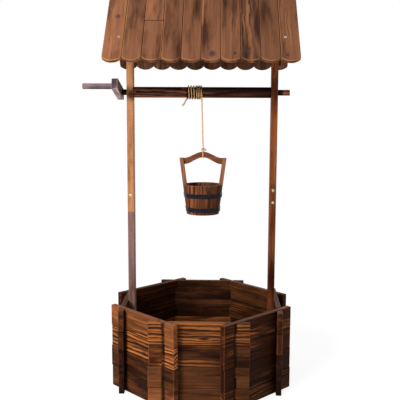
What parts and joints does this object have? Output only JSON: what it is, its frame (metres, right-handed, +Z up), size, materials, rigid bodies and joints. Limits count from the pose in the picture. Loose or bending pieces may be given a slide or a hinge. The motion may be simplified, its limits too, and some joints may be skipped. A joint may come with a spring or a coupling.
{
  "type": "wishing well planter",
  "caption": "Octagonal wooden tub of lapped boards with two posts, a small plank roof and a hand-cranked windlass that carries a hanging stave bucket.",
  "frame": {"origin": "on the ground at the middle of the tub, on the underside of the middle floor bearer", "axes": "+Z up; the windlass lies along X with its crank at -X; the front, where the rope falls, is towards -Y"},
  "size_m": [0.6833, 0.6002, 1.3148],
  "materials": {
    "burnt_wood": "brushed, flame-burnt softwood with dark soft grain and orange streaks",
    "roof_wood": "stained planks, edges worn light",
    "post_light_wood": "light tan stained softwood",
    "post_dark_wood": "dark brown stained softwood",
    "post_red_wood": "reddish brown stained softwood",
    "roller_wood": "very dark burnt softwood",
    "crank_wood": "weathered purplish brown softwood",
    "rope": "twisted natural fibre, matt",
    "stave_wood": "stained staves with dark grain",
    "hoop_metal": "black, satin"
  },
  "bodies": {
    "frame": {"tub_board_front_1": "burnt_wood", "tub_board_front_2": "burnt_wood", "tub_board_front_3": "burnt_wood", "tub_board_front_4": "burnt_wood", "tub_board_front_right_1": "burnt_wood", "tub_board_front_right_2": "burnt_wood", "tub_board_front_right_3": "burnt_wood", "tub_board_front_right_4": "burnt_wood", "tub_board_right_1": "burnt_wood", "tub_board_right_2": "burnt_wood", "tub_board_right_3": "burnt_wood", "tub_board_right_4": "burnt_wood", "tub_board_rear_right_1": "burnt_wood", "tub_board_rear_right_2": "burnt_wood", "tub_board_rear_right_3": "burnt_wood", "tub_board_rear_right_4": "burnt_wood", "tub_board_rear_1": "burnt_wood", "tub_board_rear_2": "burnt_wood", "tub_board_rear_3": "burnt_wood", "tub_board_rear_4": "burnt_wood", "tub_board_rear_left_1": "burnt_wood", "tub_board_rear_left_2": "burnt_wood", "tub_board_rear_left_3": "burnt_wood", "tub_board_rear_left_4": "burnt_wood", "tub_board_left_1": "burnt_wood", "tub_board_left_2": "burnt_wood", "tub_board_left_3": "burnt_wood", "tub_board_left_4": "burnt_wood", "tub_board_front_left_1": "burnt_wood", "tub_board_front_left_2": "burnt_wood", "tub_board_front_left_3": "burnt_wood", "tub_board_front_left_4": "burnt_wood", "floor_bearer_front": "burnt_wood", "floor_bearer_middle": "burnt_wood", "floor_bearer_rear": "burnt_wood", "floor_deck": "burnt_wood", "front_roof_slope": "roof_wood", "rear_roof_slope": "roof_wood", "left_post_upper": "post_light_wood", "left_post_lower": "post_dark_wood", "right_post_upper": "post_red_wood", "right_post_lower": "post_red_wood", "rafter_front_left": "post_red_wood", "rafter_front_right": "post_red_wood", "rafter_rear_left": "post_red_wood", "rafter_rear_right": "post_red_wood"},
    "windlass": {"windlass_roller": "roller_wood", "crank_arm": "crank_wood", "crank_grip": "crank_wood", "rope_winding": "rope"},
    "rope": {"rope_fall": "rope"},
    "bucket": {"bucket_staves_front": "stave_wood", "bucket_staves_rear": "stave_wood", "bucket_ear_left": "stave_wood", "bucket_ear_right": "stave_wood", "bucket_bottom": "stave_wood", "bucket_handle": "stave_wood", "bucket_hoop_lower": "hoop_metal", "bucket_hoop_upper": "hoop_metal", "rope_knot": "rope"}
  },
  "joints": [
    {"name": "windlass_turn", "type": "hinge", "parent": "frame", "child": "windlass", "pos_m": [0, 0, 0.984], "axis": [-1, 0, 0], "range_deg": [-1336, 385]},
    {"name": "rope_swing", "type": "hinge", "parent": "frame", "child": "rope", "pos_m": [-0.001, -0.0203, 0.9687], "axis": [1, 0, 0], "range_deg": [-6, 6]},
    {"name": "bucket_lift", "type": "slide", "parent": "rope", "child": "bucket", "axis": [0, 0, 1], "range_m": [-0.52, 0.15], "deforming": ["rope_fall"]}
  ],
  "couplings": [
    {"joint": "bucket_lift", "follows": "windlass_turn", "m_per_rad": 0.0223}
  ]
}
